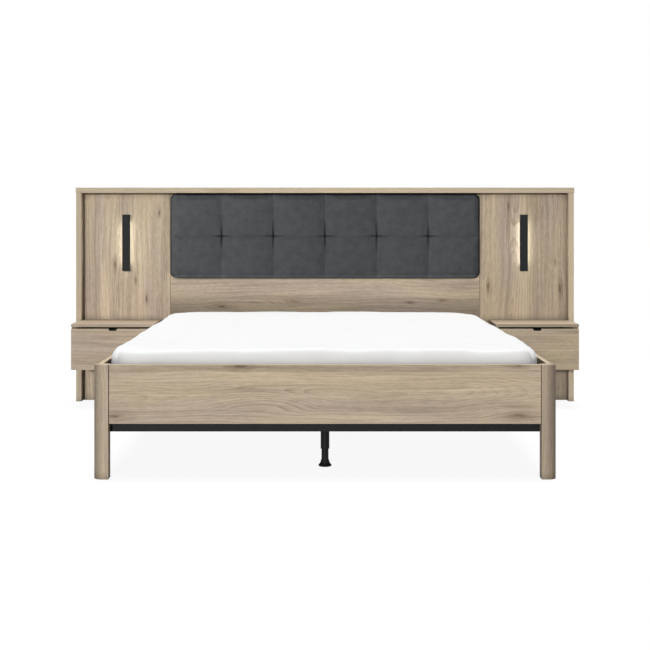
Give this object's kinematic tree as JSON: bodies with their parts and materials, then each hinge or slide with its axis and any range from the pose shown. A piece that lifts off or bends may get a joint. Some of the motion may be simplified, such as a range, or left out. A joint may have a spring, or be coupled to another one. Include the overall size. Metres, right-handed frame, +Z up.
{
  "type": "bed with attached nightstands",
  "caption": "Wood-effect bed with a wide panelled headboard, tufted grey headboard cushion, slim black reading lamps, floating drawer nightstands, slatted base and mattress.",
  "frame": {"origin": "centre of the footprint on the floor, under the middle of the overall box", "axes": "+X to the right seen from the foot end, +Y from the foot end to the head end, +Z up"},
  "size_m": [2.604, 2.12, 1.117],
  "materials": {
    "oak_along": "matt greige oak melamine on chipboard, grain along the board",
    "oak_upright": "matt greige oak melamine on chipboard, grain upright",
    "graphite_board": "graphite grey melamine board",
    "birch": "clear-lacquered birch plywood and bentwood",
    "slate_velvet": "short-pile slate grey velvet, stitched",
    "black_aluminium": "matt black anodised",
    "opal": "opal acrylic, lit warm white",
    "black_steel": "satin black powder coat on steel",
    "black_plastic": "moulded black elastomer",
    "white_sheet": "white cotton fitted sheet over a foam mattress",
    "slide_steel": "zinc-plated sheet steel"
  },
  "bodies": {
    "bed": {"headboard_top": "oak_along", "headboard_gable_left": "oak_upright", "headboard_gable_right": "oak_upright", "headboard_panel_left": "oak_upright", "headboard_panel_right": "oak_upright", "headboard_panel_center": "oak_along", "headboard_batten_left": "oak_upright", "headboard_batten_right": "oak_upright", "cushion_board": "birch", "headboard_cushion": "slate_velvet", "lamp_left_cover": "black_aluminium", "lamp_right_cover": "black_aluminium", "lamp_left_diffuser": "opal", "lamp_right_diffuser": "opal", "footboard": "oak_along", "leg_left": "oak_upright", "leg_right": "oak_upright", "side_rail_left": "oak_along", "side_rail_right": "oak_along", "base_ledge_left": "black_steel", "base_ledge_right": "black_steel", "base_tube_front": "black_steel", "base_tube_rear": "black_steel", "base_tube_center": "black_steel", "base_tube_left": "black_steel", "base_tube_right": "black_steel", "slats_left": "birch", "slats_right": "birch", "slat_caps_left": "black_plastic", "slat_caps_right": "black_plastic", "slat_caps_center": "black_plastic", "support_front_sleeve": "black_steel", "support_rear_sleeve": "black_steel", "mattress": "white_sheet", "nightstand_left_top": "oak_along", "nightstand_right_top": "oak_along", "nightstand_left_side_outer": "oak_along", "nightstand_right_side_outer": "oak_along", "nightstand_left_side_inner": "oak_along", "nightstand_right_side_inner": "oak_along", "nightstand_left_bottom": "oak_along", "nightstand_right_bottom": "oak_along", "nightstand_left_back": "graphite_board", "nightstand_right_back": "graphite_board", "nightstand_left_slides": "slide_steel", "nightstand_right_slides": "slide_steel"},
    "left_drawer": {"drawer_left_front": "oak_along", "drawer_left_side_outer": "graphite_board", "drawer_left_side_inner": "graphite_board", "drawer_left_back": "graphite_board", "drawer_left_bottom": "graphite_board", "drawer_left_slides": "slide_steel"},
    "right_drawer": {"drawer_right_front": "oak_along", "drawer_right_side_outer": "graphite_board", "drawer_right_side_inner": "graphite_board", "drawer_right_back": "graphite_board", "drawer_right_bottom": "graphite_board", "drawer_right_slides": "slide_steel"},
    "front_support_foot": {"support_front_foot": "black_steel"},
    "rear_support_foot": {"support_rear_foot": "black_steel"}
  },
  "joints": [
    {"name": "left_drawer_slide", "type": "slide", "parent": "bed", "child": "left_drawer", "axis": [0, -1, 0], "range_m": [0, 0.19]},
    {"name": "right_drawer_slide", "type": "slide", "parent": "bed", "child": "right_drawer", "axis": [0, -1, 0], "range_m": [0, 0.19]},
    {"name": "front_foot_height", "type": "slide", "parent": "bed", "child": "front_support_foot", "axis": [0, 0, 1], "range_m": [0, 0.04]},
    {"name": "rear_foot_height", "type": "slide", "parent": "bed", "child": "rear_support_foot", "axis": [0, 0, 1], "range_m": [0, 0.04]}
  ]
}
